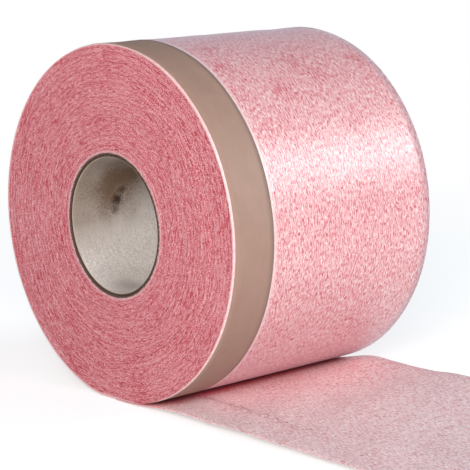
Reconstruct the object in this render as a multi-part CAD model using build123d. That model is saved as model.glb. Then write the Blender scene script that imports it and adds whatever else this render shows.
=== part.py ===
from build123d import *
from math import acos, atan2, degrees
import os

# Vapour barrier roll: a narrow fleece-faced membrane wound on a cardboard core.
# The roll lies on its side. Its axis is Y, the floor side is -Z, and the loose
# end leaves the underside towards +X. The origin is the middle of the core.

# Driving dimensions, in millimetres
WEB_WIDTH = 150.0           # width of the membrane, along the roll's axis
WEB_THICKNESS = 0.9         # one turn as wound, its liner included
TURNS = 67                  # about 29 m of membrane
TAIL_LENGTH = 260.0         # loose end, from under the roll to its tip
TAIL_LIFT = 5.5             # how far the loose end's curl holds it off the floor
TAIL_RISE_START = 13.0      # where it leaves the floor beside the roll
TAIL_RISE_LENGTH = 45.0     # along the floor, up to the full lift
TAIL_FALL_START = 150.0     # where it starts down to the floor again
TAIL_FALL_LENGTH = 85.0
CORE_BORE_RADIUS = 38.0     # the common 76 mm core
CORE_WALL = 1.5
CORE_RECESS = 1.2           # how far the core stands back at each end
CORE_CLEARANCE = 0.05       # between the core and the first turn
LINER_WIDTH = 27.0          # paper strip over the adhesive band
LINER_THICKNESS = 0.15
LINER_MARGIN = 2.2          # bare membrane between the near end and the liner
TURNS_PER_RING = 5          # turns that make one leaning ring on the roll's ends
RING_DEPTH = 0.4            # from a ring's crest to the valley beside it
RING_STEP = 0.6             # radial width of a ring's steep side
RING_SETBACK = 0.05         # how far the crests stand behind the outer turns
MOUTH_GAP = 0.15            # height of the gap where the tail parts from the roll
CUT_OVERSHOOT = 0.5         # how far a cutting tool stands out of what it cuts

# Worked-out sizes
CORE_RADIUS = CORE_BORE_RADIUS + CORE_WALL
FIRST_TURN_RADIUS = CORE_RADIUS + CORE_CLEARANCE
ROLL_RADIUS = FIRST_TURN_RADIUS + TURNS * WEB_THICKNESS
TAIL_TIP = WEB_THICKNESS / 8 + TAIL_LENGTH
CORE_LENGTH = WEB_WIDTH - 2 * CORE_RECESS
NEAR_END = -WEB_WIDTH / 2
LINER_MIDDLE = NEAR_END + LINER_MARGIN + LINER_WIDTH / 2


def tail_run(inset, start_x):
    """The tail's underside, or a line that far above it, from start_x to the tip.

    It is flat under the roll, rises on two equal arcs, stays level, falls on two
    equal arcs and ends flat. An arc that is centred above the sheet gets smaller
    by the inset and one that is centred below gets larger, so the sheet keeps
    its thickness.
    """
    floor = -ROLL_RADIUS

    def slope(start, length, rising):
        radius = (length ** 2 + TAIL_LIFT ** 2) / (4 * TAIL_LIFT)
        angle = degrees(2 * atan2(TAIL_LIFT, length))
        end = start + length
        foot = (start if rising else end, floor + radius)
        head = (end if rising else start, floor + TAIL_LIFT - radius)
        if rising:
            low_arc = CenterArc(foot, radius - inset, 270, angle)
            high_arc = CenterArc(head, radius + inset, 90 + angle, -angle)
            return [low_arc, high_arc]
        high_arc = CenterArc(head, radius + inset, 90, -angle)
        low_arc = CenterArc(foot, radius - inset, 270 - angle, angle)
        return [high_arc, low_arc]

    rise = slope(TAIL_RISE_START, TAIL_RISE_LENGTH, True)
    fall = slope(TAIL_FALL_START, TAIL_FALL_LENGTH, False)
    under_roll = Line((start_x, floor + inset), rise[0] @ 0)
    level = Line(rise[1] @ 1, fall[0] @ 0)
    tip = Line(fall[1] @ 1, (TAIL_TIP, floor + inset))
    return [under_roll] + rise + [level] + fall + [tip]


class OuterTurn:
    """The outer turn's outline in the roll's section, x across and z up.

    Each quarter is an arc that is one step larger than the last, and the four
    centres are the corners of a small square, so the arcs meet without a kink.
    The outline starts in the mouth above the tail, goes once round the roll,
    and runs on as the tail's underside.
    """

    def __init__(self, inset=0.0):
        step = WEB_THICKNESS / 4
        half = step / 2
        self.floor = -ROLL_RADIUS + inset
        centres = [(half, half), (-half, half), (-half, -half), (half, -half)]
        largest = ROLL_RADIUS - half
        radii = [largest - step * back - inset for back in (3, 2, 1, 0)]
        mouth_radius = radii[0] + inset
        mouth = degrees(acos(1 - MOUTH_GAP / mouth_radius))
        starts = [270 + mouth, 0, 90, 180]
        sweeps = [90 - mouth, 90, 90, 90]
        quarters = zip(centres, radii, starts, sweeps)
        self.arcs = [CenterArc(*quarter) for quarter in quarters]
        self.start = self.arcs[0] @ 0
        self.end = (TAIL_TIP, self.floor)
        self.edges = self.arcs + tail_run(inset, half)


def section_solid(edges, width, middle):
    """A closed outline in the roll's section, made into a solid along the axis."""
    face = make_face([Plane.XZ * edge for edge in edges])
    solid = extrude(face, amount=width / 2, both=True)
    return Pos(0, middle, 0) * solid


def make_core():
    wall = Cylinder(CORE_RADIUS, CORE_LENGTH) - Cylinder(CORE_BORE_RADIUS, CORE_LENGTH)
    return Rot(X=90) * wall


def make_liner():
    """Paper strip: once round the roll, then under the tail to its tip."""
    outer = OuterTurn()
    inner = OuterTurn(LINER_THICKNESS)
    mouth_cut = Line(outer.start, inner.start)
    tip_cut = Line(outer.end, inner.end)
    edges = outer.edges + inner.edges + [mouth_cut, tip_cut]
    return section_solid(edges, LINER_WIDTH, LINER_MIDDLE)


def wound_body():
    """The wound turns up to the outer one, whose end runs out as the tail."""
    turn = OuterTurn()
    top = tail_run(WEB_THICKNESS, turn.start.X)
    tip = Line(turn.end, top[-1] @ 1)
    mouth = Line(top[0] @ 0, turn.start)
    edges = turn.edges + [tip] + top + [mouth]
    return section_solid(edges, WEB_WIDTH, 0)


def ring_cut(end):
    """The turned cut that shows the turns on one end, -1 for near or 1 for far.

    Every ring slopes in from its crest to a valley, then steps back out to the
    next crest. The last ring is left whole, flush with the outer turn.
    """
    face = WEB_WIDTH / 2
    crest = face - RING_SETBACK
    valley = crest - RING_DEPTH
    ring_width = TURNS_PER_RING * WEB_THICKNESS
    ring_count = (TURNS - 1) // TURNS_PER_RING
    inside = FIRST_TURN_RADIUS - CUT_OVERSHOOT
    outside = face + CUT_OVERSHOOT
    profile = [(inside, outside), (inside, crest), (FIRST_TURN_RADIUS, crest)]
    for ring in range(1, ring_count + 1):
        radius = FIRST_TURN_RADIUS + ring * ring_width
        profile += [(radius - RING_STEP, valley), (radius, crest)]
    profile.append((profile[-1][0], outside))
    points = [(radius, end * along) for radius, along in profile]
    return revolve(make_face(Polyline(*points, close=True)), Axis.Y)


def make_membrane(liner):
    bore_length = WEB_WIDTH + 2 * CUT_OVERSHOOT
    bore = Rot(X=90) * Cylinder(FIRST_TURN_RADIUS, bore_length)
    return wound_body() - bore - ring_cut(-1) - ring_cut(1) - liner


def write(name, shape):
    solids = shape.solids()
    solid = solids[0] if len(solids) == 1 else Compound(children=solids)
    export_step(solid, f"parts/{name}.step")
    print(name, len(solids), "solid,", round(shape.volume / 1000, 2), "cm3")


os.makedirs("parts", exist_ok=True)
liner = make_liner()
write("core_tube", make_core())
write("membrane", make_membrane(liner))
write("release_liner", liner)
print("roll radius", round(ROLL_RADIUS, 2), "mm")
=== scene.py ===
# %% [markdown]
# # A roll of vapour barrier membrane
# The roll is one long strip of fleece-faced membrane, wound on a cardboard core and laid on its
# side, with its loose end run out along the floor. A paper liner covers an adhesive band near one
# edge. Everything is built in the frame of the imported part: the core's axis is Y, the floor is
# below in -Z and the loose end goes towards +X.

import bmesh
import bpy
import numpy as np
from mathutils import Matrix, Vector


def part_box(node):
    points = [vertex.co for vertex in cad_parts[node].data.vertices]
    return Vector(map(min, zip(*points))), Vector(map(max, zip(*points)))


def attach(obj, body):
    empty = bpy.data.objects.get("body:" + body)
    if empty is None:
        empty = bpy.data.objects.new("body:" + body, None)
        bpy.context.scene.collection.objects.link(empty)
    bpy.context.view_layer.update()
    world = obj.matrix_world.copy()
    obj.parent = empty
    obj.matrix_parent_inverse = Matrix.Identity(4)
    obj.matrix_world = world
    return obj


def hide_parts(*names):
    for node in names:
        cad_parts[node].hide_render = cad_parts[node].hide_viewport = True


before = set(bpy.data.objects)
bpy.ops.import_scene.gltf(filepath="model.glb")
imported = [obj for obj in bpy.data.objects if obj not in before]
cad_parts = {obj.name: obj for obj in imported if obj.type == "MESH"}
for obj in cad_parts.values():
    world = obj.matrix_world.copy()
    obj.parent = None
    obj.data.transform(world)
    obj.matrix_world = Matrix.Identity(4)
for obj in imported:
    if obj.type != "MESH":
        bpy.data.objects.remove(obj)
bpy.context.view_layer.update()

MM = 0.001
MERGE_DISTANCE = 0.01 * MM
near_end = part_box("membrane")[0].y / MM
far_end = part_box("membrane")[1].y / MM
floor_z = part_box("membrane")[0].z / MM
tail_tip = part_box("membrane")[1].x / MM

# %% [markdown]
# ## The camera
# The roll's round end, its core and its straight outline in the photograph give the direction and
# the distance of the camera: a long lens, a little above the core, looking half along the axis.
# The camera's place is written as a direction from the middle of the near end, a distance and a
# small sideways step, so each number can be changed by itself.

# %% Camera
CAMERA_AZIMUTH = np.radians(48.59)
CAMERA_ELEVATION = np.radians(10.47)
CAMERA_ROLL = np.radians(-1.0)
CAMERA_DISTANCE = 1023.5        # mm from the middle of the near end
CAMERA_RIGHT = 67.85            # mm to the right of that middle
CAMERA_UP = -5.04               # mm up from it
LENS = 142.06                   # mm, for a sensor 36 mm wide
SENSOR = 36.0

level, side = np.cos(CAMERA_ELEVATION), np.sin(CAMERA_ELEVATION)
back = np.array([np.sin(CAMERA_AZIMUTH) * level, -np.cos(CAMERA_AZIMUTH) * level, side])
flat_right = np.array([np.cos(CAMERA_AZIMUTH), np.sin(CAMERA_AZIMUTH), 0])
flat_up = np.cross(back, flat_right)
right = np.cos(CAMERA_ROLL) * flat_right + np.sin(CAMERA_ROLL) * flat_up
up = np.cos(CAMERA_ROLL) * flat_up - np.sin(CAMERA_ROLL) * flat_right
eye = np.array([0, near_end, 0]) + back * CAMERA_DISTANCE + right * CAMERA_RIGHT + up * CAMERA_UP

camera = bpy.data.objects.new("camera", bpy.data.cameras.new("camera"))
bpy.context.scene.collection.objects.link(camera)
turn = Matrix([right, up, back]).transposed().to_4x4()
camera.matrix_world = Matrix.Translation(Vector(eye * MM)) @ turn
camera.data.lens = LENS
camera.data.sensor_width = SENSOR
bpy.context.scene.camera = camera
bpy.context.scene.view_settings.view_transform = "Standard"
print("camera at", eye.round(1), "mm")

# %% [markdown]
# ## Shared helpers
# A mesh is always made the same way here: arrays of points and faces go in, and a new object comes
# out. Each piece carries a UV map in metres, so that a pattern can follow the strip along its length
# instead of sliding over the roll.

# %% Helper: a mesh from arrays
FACE, CUT = 0, 1                # which of a piece's materials its faces and its cut edges take
print("doubles are merged within", MERGE_DISTANCE / MM, "mm")


def mesh_piece(name, points, faces, uv, material_index):
    """Puts arrays into a mesh: points in mm, faces as rows of point numbers, uv in mm with one pair
    for each corner of each face. Doubles are merged and every face is turned outwards."""
    mesh = bpy.data.meshes.new(name)
    mesh.from_pydata((points * MM).tolist(), [], faces)
    layer = mesh.uv_layers.new(name="web")
    layer.data.foreach_set("uv", (uv * MM).astype(np.float32).ravel())
    mesh.polygons.foreach_set("material_index", material_index.astype(np.int32))
    mesh.polygons.foreach_set("use_smooth", np.ones(len(faces), bool))
    shape = bmesh.new()
    shape.from_mesh(mesh)
    bmesh.ops.remove_doubles(shape, verts=shape.verts, dist=MERGE_DISTANCE)
    bmesh.ops.recalc_face_normals(shape, faces=shape.faces)
    open_edges = sum(1 for edge in shape.edges if len(edge.link_faces) != 2)
    shape.to_mesh(mesh)
    triangles = sum(len(face.verts) - 2 for face in shape.faces)
    shape.free()
    piece = bpy.data.objects.new(name, mesh)
    bpy.context.scene.collection.objects.link(piece)
    print(name, triangles, "triangles,", open_edges, "open edges")
    return piece


# %% Helpers: a soft rise, slow waves and quads
def smooth_step(value, start, end):
    """0 before start and 1 after end, with an S-shaped rise between them."""
    share = np.clip((value - start) / (end - start), 0, 1)
    return share * share * (3 - 2 * share)


def slow_waves(value, lengths, seed):
    """A gentle random line: sines of the given wavelengths with random phases, averaged."""
    phases = np.random.default_rng(seed).uniform(0, 2 * np.pi, len(lengths))
    waves = [np.sin(2 * np.pi * value / length + phase) for length, phase in zip(lengths, phases)]
    return np.mean(waves, axis=0)


def strip_of_quads(first, second):
    """Quads between two lines of point numbers: each quad has two neighbours from either line."""
    return np.stack([first[:-1], second[:-1], second[1:], first[1:]], -1)


print("two lines of two points give", strip_of_quads(np.arange(2), np.arange(2, 4)).tolist())

# %% [markdown]
# ## The wound turns
# On the real roll the end is the cut edge of one strip, seen turn by turn. It could be a flat disc
# with painted rings, but the turns stand a little in and out of each other, so here the end is a
# true spiral of ridges: one long line of points winds out from the core, with a valley between
# turns and a crest on each turn. A turn's height changes slowly along the strip, as it does when a
# roll is wound with a slight wander.

# %% Sizes of the winding
FIRST_TURN_RADIUS = 39.55       # where the first turn lies on the core
WOUND_RADIUS = 100.75           # outside of the last turn, before it is pressed on the floor
TURNS = 67
COLUMNS = 288                   # points in one turn

thickness = (WOUND_RADIUS - FIRST_TURN_RADIUS) / TURNS
last = TURNS * COLUMNS
print("one turn is", round(thickness, 3), "mm thick")

# %% Pressing points on the floor and placing them round the axis
LINER_SINK = 0.14               # the membrane stands this far off the floor, on its liner
FOOT_COSINE = 0.5               # only what lies within 60 degrees of straight down is pressed


def press(radius, angle, clearance):
    """Moves points in where the roll rests: what would be lower than the floor comes up to it,
    and points nearer the core move less, by the square of their share of the radius."""
    downwards = np.clip(np.cos(angle), FOOT_COSINE, 1)
    depth = np.maximum(0, WOUND_RADIUS - (-floor_z - clearance) / downwards)
    share = (radius - FIRST_TURN_RADIUS) / (WOUND_RADIUS - FIRST_TURN_RADIUS)
    return radius - depth * np.clip(share, 0, 1) ** 2


def around(radius, angle, along):
    """Points of a roll: angle counts from the floor towards the loose end, along is Y."""
    return np.stack([radius * np.sin(angle), along + 0 * angle, -radius * np.cos(angle)], -1)


pressed_foot = press(WOUND_RADIUS, 0.0, LINER_SINK)
print("the foot is pressed in by", round(float(WOUND_RADIUS - pressed_foot), 2), "mm")

# %% The spiral lines on one end
CREST_HEIGHT = 0.28             # how far a turn's middle stands out of the valleys beside it
END_SETBACK = 0.75              # how far a level turn stands behind the ends of the part
WANDER = 0.38                   # slow sideways wander of the strip as it was wound
WANDER_TURNS = (31.0, 13.7, 5.3)            # its wavelengths, in turns
JITTER = 0.3                    # quick change of a crest's height from turn to turn
JITTER_TURNS = (2.13, 1.37, 0.83, 0.46)     # its wavelengths, in turns
RIM_ROUNDING = 0.3              # how far the last turn's corner is rounded
RIM_SETBACK = 0.1               # how far its crest stands behind the end of the part
print("one end has", 2 * last + COLUMNS + 2, "points on its valleys and crests")


def spiral_lines(sign, seed):
    """Valley number m lies a thickness further out each turn, crest number m halfway between the
    valleys on its two sides. Their heights are the end's height, the strip's slow wander and, for
    crests, a quick jitter from turn to turn."""
    m_valley = np.arange(-COLUMNS, last + 1)
    m_crest = np.arange(0, last + 1)
    wound = FIRST_TURN_RADIUS + thickness * np.maximum(m_valley, 0) / COLUMNS
    middle = (wound[:-COLUMNS] + wound[COLUMNS:]) / 2
    rim = smooth_step(m_valley, last - COLUMNS - 1, last - COLUMNS)
    wander = WANDER * slow_waves(m_valley / COLUMNS, WANDER_TURNS, seed)
    jitter = JITTER * slow_waves(m_crest / COLUMNS, JITTER_TURNS, seed + 1)
    level = far_end - END_SETBACK
    valley = level - CREST_HEIGHT + wander * (1 - rim)
    crest = level + wander[COLUMNS:] + jitter
    rising = smooth_step(m_crest, last - COLUMNS, last)
    crest = crest + (far_end - RIM_SETBACK - crest) * rising
    angle_v = 2 * np.pi * m_valley / COLUMNS
    angle_c = 2 * np.pi * m_crest / COLUMNS
    wound = press(wound - RIM_ROUNDING * rim, angle_v, LINER_SINK)
    middle = press(middle, angle_c, LINER_SINK)
    return around(wound, angle_v, sign * valley), around(middle, angle_c, sign * crest)


# %% The skin between the ends
SKIN_ROWS = 22                  # rows of points on the skin, from end to end
SKIN_INSET = 1.1                # how far the outermost rows stand from the ends of the part
# Each unevenness has a height in mm, a slant in mm for a radian, wavelengths in mm and a seed.
UNEVENNESS = ((0.16, 40, (61, 47, 23), 5), (0.12, -55, (37, 29), 6))


def skin_radius(m, along):
    """Radius of the last turn: the spiral's own, with a slow unevenness that fades to nothing
    where the turn starts and ends."""
    angle = 2 * np.pi * m / COLUMNS
    fade = np.sin(np.pi * np.clip((m - last + COLUMNS) / COLUMNS, 0, 1))
    uneven = 0
    for height, slant, lengths, seed in UNEVENNESS:
        uneven = uneven + height * slow_waves(along + slant * angle, lengths, seed)
    return FIRST_TURN_RADIUS + thickness * m / COLUMNS + uneven * fade


def skin_grid():
    """The last turn from end to end, pressed flat where it rests."""
    m = np.arange(last - COLUMNS, last + 1)[:, None]
    along = np.linspace(near_end + SKIN_INSET, far_end - SKIN_INSET, SKIN_ROWS)[None, :] + 0 * m
    angle = 2 * np.pi * m / COLUMNS + 0 * along
    return around(press(skin_radius(m, along), angle, LINER_SINK), angle, along)


print("the skin's highest place is", round(float(skin_grid()[:, :, 2].max()), 2), "mm")

# %% The roll's points and faces
NEAR_SEED, FAR_SEED = 3, 8      # each end has its own wander


def wound_roll():
    """Joins the near end, the far end, the skin, the bore and the step where the strip leaves.
    Returns the points, the blocks of quads and the step, which is one face with many corners."""
    near_valley, near_crest = spiral_lines(-1, NEAR_SEED)
    far_valley, far_crest = spiral_lines(1, FAR_SEED)
    skin = skin_grid()
    blocks = [near_valley, near_crest, far_valley, far_crest, skin.reshape(-1, 3)]
    starts = np.cumsum([0] + [len(block) for block in blocks])
    number = [start + np.arange(len(block)) for start, block in zip(starts, blocks)]
    v0, c0, v1, c1 = number[:4]
    skin_number = number[4].reshape(skin.shape[:2])
    lines = [skin_number[:, row] for row in range(SKIN_ROWS)]
    lines = [v0[-COLUMNS - 1:]] + lines + [v1[-COLUMNS - 1:]]
    faces = [strip_of_quads(v0[:last + 1], c0), strip_of_quads(c0, v0[COLUMNS:]),
             strip_of_quads(v1[:last + 1], c1), strip_of_quads(c1, v1[COLUMNS:])]
    faces += [strip_of_quads(a, b) for a, b in zip(lines[:-1], lines[1:])]
    faces.append(strip_of_quads(v0[:COLUMNS + 1], v1[:COLUMNS + 1]))
    step = list(skin_number[0]) + [v1[last]] + [c1[last], v1[last + COLUMNS]]
    step += list(skin_number[-1][::-1]) + [v0[last + COLUMNS], c0[last], v0[last]]
    return np.concatenate(blocks), faces, [int(p) for p in step]


points, quads, step = wound_roll()
print("the roll has", len(points), "points and", sum(len(block) for block in quads), "quads")

# %% The roll's pattern, and its mesh
END_BLOCKS = 4                  # the first four blocks of quads are the ends, two slopes on each
FAR_END_SHIFT = 40000.0         # the far end's pattern starts this many mm further along


def roll_pattern(points, quads):
    """The pattern's u is the length along the strip. Its v is the place in the strip's thickness
    on the ends, and the place across the strip on the skin and the bore. The ends and the bore
    get the cut edge's material."""
    along_web = np.cumsum(FIRST_TURN_RADIUS + thickness * np.arange(last + 1) / COLUMNS)
    along_web = along_web * 2 * np.pi / COLUMNS
    uv, index = [], []
    for part, block in enumerate(quads):
        m = np.arange(last + 1)[-len(block) - 1:]
        u = along_web[m][:, None]
        u = np.concatenate([u[:-1], u[:-1], u[1:], u[1:]], 1)
        on_end = part < END_BLOCKS
        if on_end:
            inner, outer = np.array([0, 0.5]) * thickness + (part % 2) * thickness / 2
            v = np.array([inner, outer, outer, inner]) + 0 * u
            u = u + FAR_END_SHIFT * (part // 2)
        else:
            v = points[block][:, :, 1]
        uv.append(np.stack([u, v], -1).reshape(-1, 2))
        on_bore = part == len(quads) - 1
        index.append(np.full(len(block), CUT if on_end or on_bore else FACE))
    return uv, index


uv, index = roll_pattern(points, quads)
uv.append(np.zeros((len(step), 2)))
index.append(np.full(1, FACE))
faces = np.concatenate(quads).tolist() + [step]
roll = mesh_piece("membrane_roll", points, faces, np.concatenate(uv), np.concatenate(index))

# %% [markdown]
# ## The loose end
# The last turn leaves the roll at the floor and runs out as a springy sheet. It never lies quite
# flat: it keeps some of the curl it was wound with, so it stands a few millimetres off the floor
# and its far edge stands higher and waves. Cloth simulation would make it too limp, so it is a
# sheet of two parameters: the distance from the roll and the place across the strip.

# %% The loose end's height over the floor
LIFT_START = 13.0               # where the sheet leaves the floor beside the roll
near_knots_x = np.array([0.0, LIFT_START, 24, 36, 60, 100, 150, 200, 240, 262])
near_knots_z = np.array([0.0, 0.1, 1.1, 2.5, 3.3, 3.2, 3.0, 2.2, 1.0, 0.5])
far_knots_x = np.array([0.0, LIFT_START, 24, 36, 48, 60, 88, 102, 118, 135, 200, 262])
far_knots_z = np.array([0.0, 0.1, 1.6, 4.2, 7.0, 8.2, 7.4, 7.6, 9.2, 9.0, 5.0, 0.6])
ROUNDING, ROUNDING_STEPS = 6, 9     # mm before and after a place, and how many places are averaged
CURL_REACH = 40                 # the rise towards the far edge would end this far beyond it
RIPPLE_START, RIPPLE_FULL = 26, 60          # along X, where ripples start and are at full height
RIPPLE_HEIGHT, RIPPLE_SLANT = 0.35, 0.35
CROSS_RIPPLE_HEIGHT = 0.15
RIDGE_HEIGHT, RIDGE_WIDTH = 0.45, 3.0       # over the liner's inner edge
RIDGE_PLACE, RIDGE_SLOPE = 24, 0.05         # from the near edge, and how it drifts with X


def rounded(x, knots_x, knots_z):
    """A line through the knots with its corners rounded: the mean of the line a little before,
    at and a little after each place."""
    shifts = np.linspace(-ROUNDING, ROUNDING, ROUNDING_STEPS)
    return np.mean([np.interp(x + shift, knots_x, knots_z) for shift in shifts], axis=0)


def lift(x, y):
    """Height of the sheet's underside over the floor: the near edge's line and the far edge's
    line, mixed across the strip, with a slight ridge over the liner's inner edge."""
    curl_end = far_end + CURL_REACH
    share = smooth_step(y, near_end, curl_end) / smooth_step(far_end, near_end, curl_end)
    height = (1 - share) * rounded(x, near_knots_x, near_knots_z)
    height = height + share * rounded(x, far_knots_x, far_knots_z)
    ripple = RIPPLE_HEIGHT * slow_waves(x + RIPPLE_SLANT * y, (71, 43), 11)
    ripple = ripple + CROSS_RIPPLE_HEIGHT * slow_waves(y, (33, 19), 12)
    from_ridge = y - near_end - RIDGE_PLACE - RIDGE_SLOPE * x
    ridge = RIDGE_HEIGHT * np.exp(-(from_ridge / RIDGE_WIDTH) ** 2)
    return np.maximum(0, height + (ripple + ridge) * smooth_step(x, RIPPLE_START, RIPPLE_FULL))


for edge_name, edge_y in (("near", near_end), ("far", far_end)):
    print(edge_name, "edge rises to", round(float(lift(far_knots_x, edge_y).max()), 1), "mm")

# %% Helper: a closed sheet
def slab(name, top, bottom, uv_grid, edge_material=FACE):
    """A sheet of two grids of points, joined round their four sides."""
    rows, columns = top.shape[:2]
    points = np.concatenate([top.reshape(-1, 3), bottom.reshape(-1, 3)])
    upper = np.arange(rows * columns).reshape(rows, columns)
    lower = upper + rows * columns
    faces = [strip_of_quads(a, b) for sheet in (upper, lower) for a, b in zip(sheet[:-1], sheet[1:])]
    sides = [(upper[0], lower[0]), (upper[-1], lower[-1]), (upper[:, 0], lower[:, 0]),
             (upper[:, -1], lower[:, -1])]
    flat_faces = len(faces) * (columns - 1)
    faces = np.concatenate(faces + [strip_of_quads(a, b) for a, b in sides])
    uv = np.concatenate([uv_grid.reshape(-1, 2)] * 2)[faces].reshape(-1, 2)
    index = np.where(np.arange(len(faces)) < flat_faces, FACE, edge_material)
    return mesh_piece(name, points, faces.tolist(), uv, index)


# %% The loose end's grid
SHEET_START = -1                # the sheet starts just behind the roll's lowest line
RISE_END = 60                   # up to here its rows are 1 mm apart
RISE_ROWS, REST_ROWS = 62, 100
ACROSS_ROWS = 60
EDGE_INSET = 0.4                # how far the rows beside the two edges stand in from them
x = np.linspace(SHEET_START, RISE_END, RISE_ROWS)
x = np.concatenate([x, np.linspace(RISE_END + 2, tail_tip, REST_ROWS)])[:, None]
y = np.linspace(near_end + EDGE_INSET, far_end - EDGE_INSET, ACROSS_ROWS)
y = np.concatenate([[near_end], y, [far_end]])[None, :]
x, y = x + 0 * y, y + 0 * x
print("grid of", x.shape[0], "by", x.shape[1], "points")

# %% The loose end as a closed sheet
SHEET_THICKNESS = 0.8
EDGE_WAVE = 0.25                # how far the cut edges wander from a straight line
EDGE_WAVE_START, EDGE_WAVE_FULL = 20, 60
CORNER_ROUNDING = 0.22
CORNER_BAND = 0.2               # only the outermost rows are rounded
SHEET_UV_START = (4000.0, 900.0)    # mm, so that its pattern isn't the roll's own
edge_wave = EDGE_WAVE * slow_waves(x, (83, 37, 19), 21)
y_placed = y + edge_wave * smooth_step(x, EDGE_WAVE_START, EDGE_WAVE_FULL) * np.sign(y) * -1
y_placed = np.clip(y_placed, near_end, far_end)
underside = floor_z + LINER_SINK + lift(x, y)
corner = CORNER_ROUNDING * (np.abs(y) > far_end - CORNER_BAND)
top = np.stack([x, y_placed, underside + SHEET_THICKNESS - corner], -1)
bottom = np.stack([x, y_placed, underside + corner], -1)
web_uv = np.stack([x + SHEET_UV_START[0], y + SHEET_UV_START[1]], -1)
loose_end = slab("membrane_loose_end", top, bottom, web_uv, edge_material=CUT)

# %% [markdown]
# ## The paper liner
# A strip of paper covers the adhesive band, once round the roll and on under the loose end. It is
# a ribbon carried along the roll's outline, so it is one grid: the way along the outline and the
# place across the strip. It is pressed on the floor with the roll and stands a hair over the skin.

# %% Liner round the roll
LINER_NEAR = near_end + 2.2     # bare membrane shows between the near end and the liner
LINER_WIDTH = 27.0
LINER_PROUD = 0.12              # over the membrane's skin
LINER_THICKNESS = 0.15
LINER_COLUMNS = 8               # points across the strip
PAST_STEP = 5                   # it starts this many points past the step in the last turn
INSIDE_CLEARANCE = 0.1          # how far its inner face stays off the floor

across = np.linspace(LINER_NEAR, LINER_NEAR + LINER_WIDTH, LINER_COLUMNS)[None, :]
m = np.arange(last - COLUMNS + PAST_STEP, last)[:, None]
angle = 2 * np.pi * m / COLUMNS + 0 * across
wound = skin_radius(m, across)
wrap = []
for proud, clearance in ((LINER_PROUD, 0.0), (LINER_PROUD - LINER_THICKNESS, INSIDE_CLEARANCE)):
    wrap.append(around(press(wound + proud, angle, clearance), angle, across + 0 * angle))
print("the liner goes round in", len(m), "rows")

# %% Liner under the loose end, and the whole strip
TIP_INSET = 0.5                 # it ends this far before the membrane's tip
LINER_ROWS = 180
ROW_LENGTH = 2.0                # mm of pattern for a row, about as far as the rows are apart
x = np.linspace(0, tail_tip - TIP_INSET, LINER_ROWS)[:, None] + 0 * across
y = across + 0 * x
under = floor_z + LINER_SINK + lift(x, y) - LINER_PROUD
run_out = [np.stack([x, y, under], -1), np.stack([x, y, under + LINER_THICKNESS], -1)]
outside = np.concatenate([wrap[0], run_out[0]])
inside = np.concatenate([wrap[1], run_out[1]])
outside[:, :, 2] = np.maximum(outside[:, :, 2], floor_z)
way = np.arange(len(outside))[:, None] * ROW_LENGTH + 0 * across
liner = slab("paper_liner", outside, inside, np.stack([way, across + 0 * way], -1))

# %% [markdown]
# ## The cardboard core
# The core is a tube of spiral-wound grey board, cut square. It is a closed outline of the tube's
# wall carried round the axis, with its four corners rounded by the saw and by handling, and a
# shallow helical seam pressed into the inside, where one ply butts against the next.

# %% The core's outline
CORE_BORE_RADIUS = 38.0
CORE_OUTER_RADIUS = 39.5
CORE_HALF_LENGTH = 73.8
CORE_ROWS = 60                  # points along the bore
CORNER = 0.35                   # size of the worn corners
ROUND_SHARE = 0.3               # a round corner's middle lies this share of its size in
OUTER_SHARE = 0.6               # the outer corners are worn less across the cut

end_y = np.linspace(-CORE_HALF_LENGTH + CORNER, CORE_HALF_LENGTH - CORNER, CORE_ROWS)
bore_line = np.stack([np.full(CORE_ROWS, CORE_BORE_RADIUS), end_y], -1)
far_corner = [[CORE_BORE_RADIUS + CORNER * ROUND_SHARE, CORE_HALF_LENGTH - CORNER * ROUND_SHARE],
              [CORE_BORE_RADIUS + CORNER, CORE_HALF_LENGTH],
              [CORE_OUTER_RADIUS - CORNER * OUTER_SHARE, CORE_HALF_LENGTH],
              [CORE_OUTER_RADIUS, CORE_HALF_LENGTH - CORNER]]
near_corner = [[radius, -along] for radius, along in far_corner[::-1]]
outline = np.concatenate([bore_line, far_corner, near_corner])
print("the core's outline has", len(outline), "points")

# %% The core, carried round the axis
CORE_COLUMNS = 240              # points round the axis
PLY_PITCH = 96.0                # mm along the core from one seam to the next
SEAM_WIDTH, SEAM_DEPTH = 0.8, 0.15
angle = np.linspace(0, 2 * np.pi, CORE_COLUMNS + 1)[None, :]
radius = outline[:, :1] + 0 * angle
along = outline[:, 1:] + 0 * angle
turns_from_seam = (along / PLY_PITCH - angle / (2 * np.pi)) % 1.0
from_seam = np.minimum(turns_from_seam, 1 - turns_from_seam) * PLY_PITCH
seam = np.exp(-(from_seam / SEAM_WIDTH) ** 2)
on_bore = (np.arange(len(outline)) < CORE_ROWS)[:, None]
radius = radius + SEAM_DEPTH * seam * on_bore
points = around(radius, angle, along)
loop = np.arange(points.shape[0] * points.shape[1]).reshape(points.shape[:2])
loop = np.concatenate([loop, loop[:1]])
faces = np.concatenate([strip_of_quads(a, b) for a, b in zip(loop[:-1], loop[1:])])
uv_grid = np.stack([angle * CORE_BORE_RADIUS + 0 * along, along], -1).reshape(-1, 2)
on_cut = np.repeat(np.where(np.arange(len(outline)) < CORE_ROWS, FACE, CUT), CORE_COLUMNS)
core = mesh_piece("core_tube_board", points.reshape(-1, 3), faces.tolist(),
                  uv_grid[faces].reshape(-1, 2), on_cut)

# %% The pieces ride on the part
for piece, node, slot in ((roll, "membrane", "fleece_membrane"),
                          (loose_end, "membrane", "fleece_membrane"),
                          (liner, "release_liner", "liner_paper"),
                          (core, "core_tube", "core_board")):
    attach(piece, "root")
    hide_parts(node)
    print(piece.name, "takes the place of", node, "with slot", slot)

# %% [markdown]
# ## Materials
# Every pattern is worked out from a real size in millimetres. Colours are written as sRGB hex and
# turned to linear by one function. One small function adds a node with its settings and links.

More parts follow.
